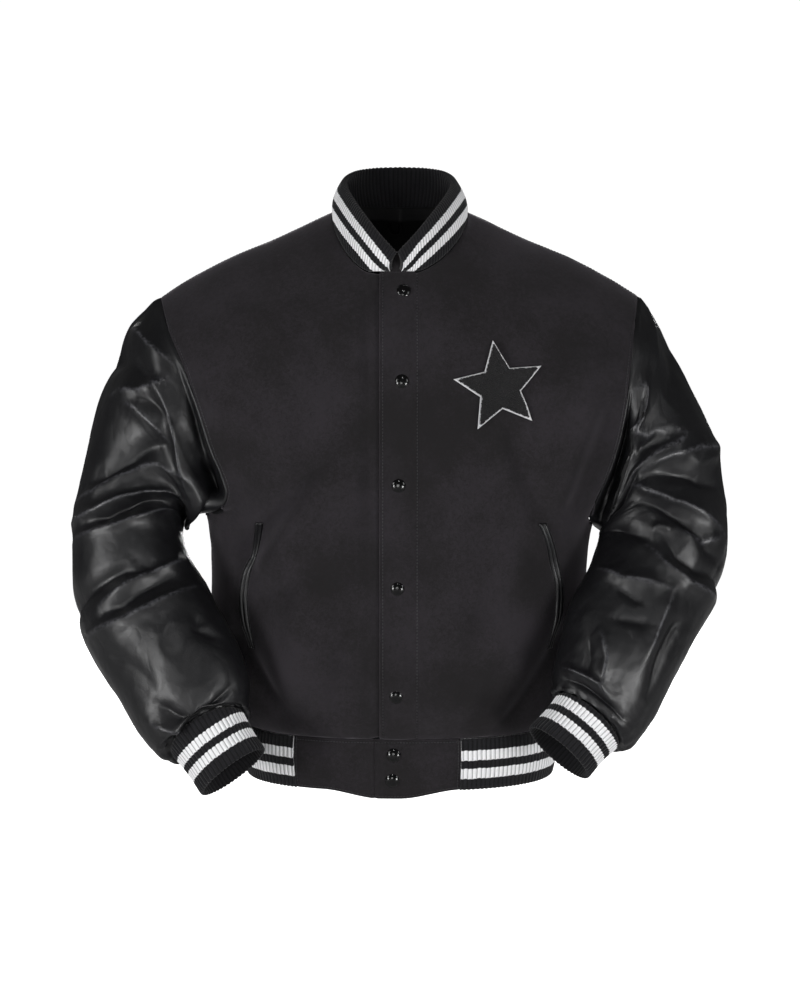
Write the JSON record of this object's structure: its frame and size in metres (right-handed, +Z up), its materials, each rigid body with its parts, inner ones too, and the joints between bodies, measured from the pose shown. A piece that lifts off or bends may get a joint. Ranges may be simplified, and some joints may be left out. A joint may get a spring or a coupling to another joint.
{
  "type": "varsity jacket",
  "caption": "Varsity jacket filled out as worn: black wool body, black leather sleeves, white-striped black rib collar, cuffs and hem, glossy snaps, star patch",
  "frame": {"origin": "Between the shoulders at the height of the neck, where a wearer's shoulders carry the jacket.", "axes": "+Z up, the front faces -Y, +X is the side of the front that laps over the other. The widest side, across the sleeves, runs along X."},
  "size_m": [0.7152, 0.3462, 0.6724],
  "materials": {
    "wool": "matte melton wool with a short nap",
    "leather": "smooth black leather with a soft gloss",
    "rib_knit": "black rib knit with two white stripes",
    "snap_enamel": "glossy black enamel cap",
    "felt": "white felt",
    "chenille": "black chenille loops",
    "lining": "black satin lining"
  },
  "bodies": {
    "root": {"front_right": "wool", "front_left": "wool", "back": "wool", "sleeve_left": "leather", "sleeve_right": "leather", "cuff_left": "rib_knit", "cuff_right": "rib_knit", "hem_rib": "rib_knit", "hem_tab_right": "wool", "hem_tab_left": "wool", "collar": "rib_knit", "snap_1": "snap_enamel", "snap_2": "snap_enamel", "snap_3": "snap_enamel", "snap_4": "snap_enamel", "snap_5": "snap_enamel", "snap_6": "snap_enamel", "snap_7": "snap_enamel", "pocket_welt_right": "leather", "pocket_welt_left": "leather", "patch_felt": "felt", "patch_chenille": "chenille", "neck_lining": "lining", "hanger_loop": "lining"}
  },
  "joints": []
}
